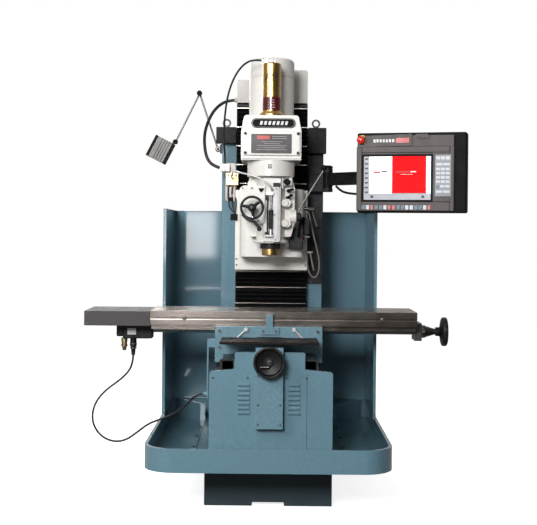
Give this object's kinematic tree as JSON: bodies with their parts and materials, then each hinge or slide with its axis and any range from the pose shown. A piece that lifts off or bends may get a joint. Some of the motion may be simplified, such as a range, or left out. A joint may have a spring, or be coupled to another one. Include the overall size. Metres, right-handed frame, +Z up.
{
  "type": "vertical milling machine",
  "caption": "Bed mill with a sliding table on a saddle, a head and quill on a tall column, a chip tray with splash guards, a control pendant and a work lamp.",
  "frame": {"origin": "centre of the anchor-hole pattern in the plinth's foot, at floor level", "axes": "+X to the operator's right along the table, +Y from the operator to the back, +Z up"},
  "size_m": [1.831, 1.774, 2.158],
  "materials": {
    "blue_paint": "semi-gloss enamel with a light texture",
    "white_paint": "off-white gloss enamel",
    "black_paint": "black satin paint",
    "dark_cover": "dark grey wrinkle paint",
    "black_plastic": "fine textured moulding",
    "red_plastic": "glossy",
    "bright_steel": "ground and scraped",
    "chrome": "polished",
    "gold_anodised": "satin gold anodised",
    "lamp_shell": "ribbed satin casting",
    "bellows_rubber": "black folded sheet",
    "cable_jacket": "matt black jacket",
    "clear_tube": "smooth pale tube"
  },
  "bodies": {
    "frame": {"base_casting": "blue_paint", "column": "blue_paint", "column_caps": "black_paint", "lifting_eyes": "bright_steel", "z_ballscrew": "bright_steel", "z_drive_cover": "white_paint", "chip_tray": "blue_paint", "splash_guard_left": "blue_paint", "splash_guard_right": "blue_paint", "tray_rails": "blue_paint", "front_panel": "blue_paint", "y_drive_cover": "blue_paint", "electrical_cabinet": "blue_paint", "pendant_bracket": "black_paint", "lower_bellows": "bellows_rubber", "upper_bellows": "bellows_rubber", "lamp_base": "black_paint"},
    "cabinet_door": {"cabinet_door": "blue_paint"},
    "saddle": {"saddle": "blue_paint", "y_way_cover": "dark_cover", "trip_bracket": "blue_paint", "cable_bracket": "blue_paint"},
    "lock_lever_left": {"lock_lever_left": "chrome"},
    "lock_lever_right": {"lock_lever_right": "chrome"},
    "cross_feed": {"y_handwheel": "black_paint", "y_ballscrew": "bright_steel"},
    "table": {"table": "bright_steel", "table_end_cover": "dark_cover", "x_motor": "black_paint", "x_bearing_bracket": "black_paint", "x_motor_cable": "cable_jacket"},
    "long_feed": {"x_handwheel": "black_paint", "x_ballscrew": "bright_steel"},
    "head": {"head_carriage": "white_paint", "head_casting": "white_paint", "belt_housing": "white_paint", "belt_cover_plate": "black_plastic", "drive_motor": "white_paint", "power_drawbar": "gold_anodised", "quill_stop": "bright_steel", "valve_block": "white_paint", "drive_belt": "bellows_rubber", "drawbar_hose": "cable_jacket", "air_tube": "clear_tube", "head_cables": "cable_jacket"},
    "quill": {"quill": "bright_steel"},
    "spindle": {"spindle": "bright_steel"},
    "spindle_pulley": {"spindle_pulley": "bright_steel"},
    "motor_rotor": {"motor_pulley": "bright_steel"},
    "quill_feed_lever": {"quill_feed_lever": "black_paint"},
    "fine_handwheel": {"fine_handwheel": "black_paint"},
    "head_lock": {"quill_lock_handle": "chrome"},
    "pendant_arm": {"pendant_arm": "black_paint", "pendant_cable": "cable_jacket"},
    "pendant": {"pendant_case": "black_plastic", "pendant_face": "dark_cover"},
    "e_stop": {"e_stop": "red_plastic"},
    "lamp_lower_arm": {"lamp_lower_arm": "white_paint"},
    "lamp_upper_arm": {"lamp_upper_arm": "white_paint"},
    "lamp_head": {"lamp_head": "lamp_shell"}
  },
  "joints": [
    {"name": "door_hinge", "type": "hinge", "parent": "frame", "child": "cabinet_door", "pos_m": [-0.356, 0.796, 0], "axis": [0, 0, 1], "range_deg": [0, 110]},
    {"name": "saddle_slide", "type": "slide", "parent": "frame", "child": "saddle", "axis": [0, 1, 0], "range_m": [-0.215, 0.085]},
    {"name": "table_lock_left", "type": "hinge", "parent": "saddle", "child": "lock_lever_left", "pos_m": [-0.111, -0.568, 0.827], "axis": [0, 1, 0], "range_deg": [0, 80]},
    {"name": "table_lock_right", "type": "hinge", "parent": "saddle", "child": "lock_lever_right", "pos_m": [0.116, -0.568, 0.827], "axis": [0, 1, 0], "range_deg": [-80, 0]},
    {"name": "cross_screw_spin", "type": "hinge", "parent": "frame", "child": "cross_feed", "pos_m": [0, -0.868, 0.711], "axis": [0, 1, 0], "continuous": true},
    {"name": "table_slide", "type": "slide", "parent": "saddle", "child": "table", "axis": [1, 0, 0], "range_m": [-0.44, 0.3], "deforming": ["x_motor_cable"]},
    {"name": "long_screw_spin", "type": "hinge", "parent": "table", "child": "long_feed", "pos_m": [0, -0.371, 0.806], "axis": [1, 0, 0], "continuous": true},
    {"name": "head_slide", "type": "slide", "parent": "frame", "child": "head", "axis": [0, 0, 1], "range_m": [-0.226, 0.35], "deforming": ["lower_bellows", "upper_bellows", "head_cables"]},
    {"name": "quill_slide", "type": "slide", "parent": "head", "child": "quill", "axis": [0, 0, 1], "range_m": [-0.127, 0]},
    {"name": "spindle_spin", "type": "hinge", "parent": "quill", "child": "spindle", "pos_m": [0, -0.371, 1.2], "axis": [0, 0, 1], "continuous": true},
    {"name": "spindle_pulley_spin", "type": "hinge", "parent": "head", "child": "spindle_pulley", "pos_m": [0, -0.371, 1.68], "axis": [0, 0, 1], "continuous": true},
    {"name": "motor_spin", "type": "hinge", "parent": "head", "child": "motor_rotor", "pos_m": [0, -0.156, 1.68], "axis": [0, 0, 1], "continuous": true},
    {"name": "quill_feed", "type": "hinge", "parent": "head", "child": "quill_feed_lever", "pos_m": [0.125, -0.371, 1.361], "axis": [1, 0, 0], "range_deg": [0, 240]},
    {"name": "fine_feed_spin", "type": "hinge", "parent": "head", "child": "fine_handwheel", "pos_m": [-0.088, -0.553, 1.4], "axis": [0, 1, 0], "continuous": true},
    {"name": "head_lock_turn", "type": "hinge", "parent": "head", "child": "head_lock", "pos_m": [0.165, -0.2, 1.404], "axis": [1, 0, 0], "range_deg": [-60, 60]},
    {"name": "pendant_swing", "type": "hinge", "parent": "frame", "child": "pendant_arm", "pos_m": [0.3, 0.058, 1.55], "axis": [0, 0, 1], "range_deg": [-18, 35]},
    {"name": "pendant_swivel", "type": "hinge", "parent": "pendant_arm", "child": "pendant", "pos_m": [0.68089, -0.33038, 1.55], "axis": [0, 0, 1], "range_deg": [-28, 60]},
    {"name": "e_stop_push", "type": "slide", "parent": "pendant", "child": "e_stop", "axis": [0.2588, 0.9659, 0], "range_m": [0, 0.006], "stiffness_N_per_m": 2000},
    {"name": "lamp_base_tilt", "type": "hinge", "parent": "frame", "child": "lamp_lower_arm", "pos_m": [-0.284, 0.117, 1.724], "axis": [0, 1, 0], "range_deg": [-25, 15]},
    {"name": "lamp_elbow_tilt", "type": "hinge", "parent": "lamp_lower_arm", "child": "lamp_upper_arm", "pos_m": [-0.383, 0.117, 2.017], "axis": [0, 1, 0], "range_deg": [-15, 60]},
    {"name": "lamp_head_tilt", "type": "hinge", "parent": "lamp_upper_arm", "child": "lamp_head", "pos_m": [-0.509, 0.117, 1.758], "axis": [0, 1, 0], "range_deg": [-60, 60]}
  ],
  "couplings": [
    {"joint": "quill_feed", "follows": "quill_slide", "rad_per_m": -32.98},
    {"joint": "spindle_pulley_spin", "follows": "spindle_spin", "ratio": 1},
    {"joint": "motor_spin", "follows": "spindle_spin", "ratio": 1.3636}
  ]
}
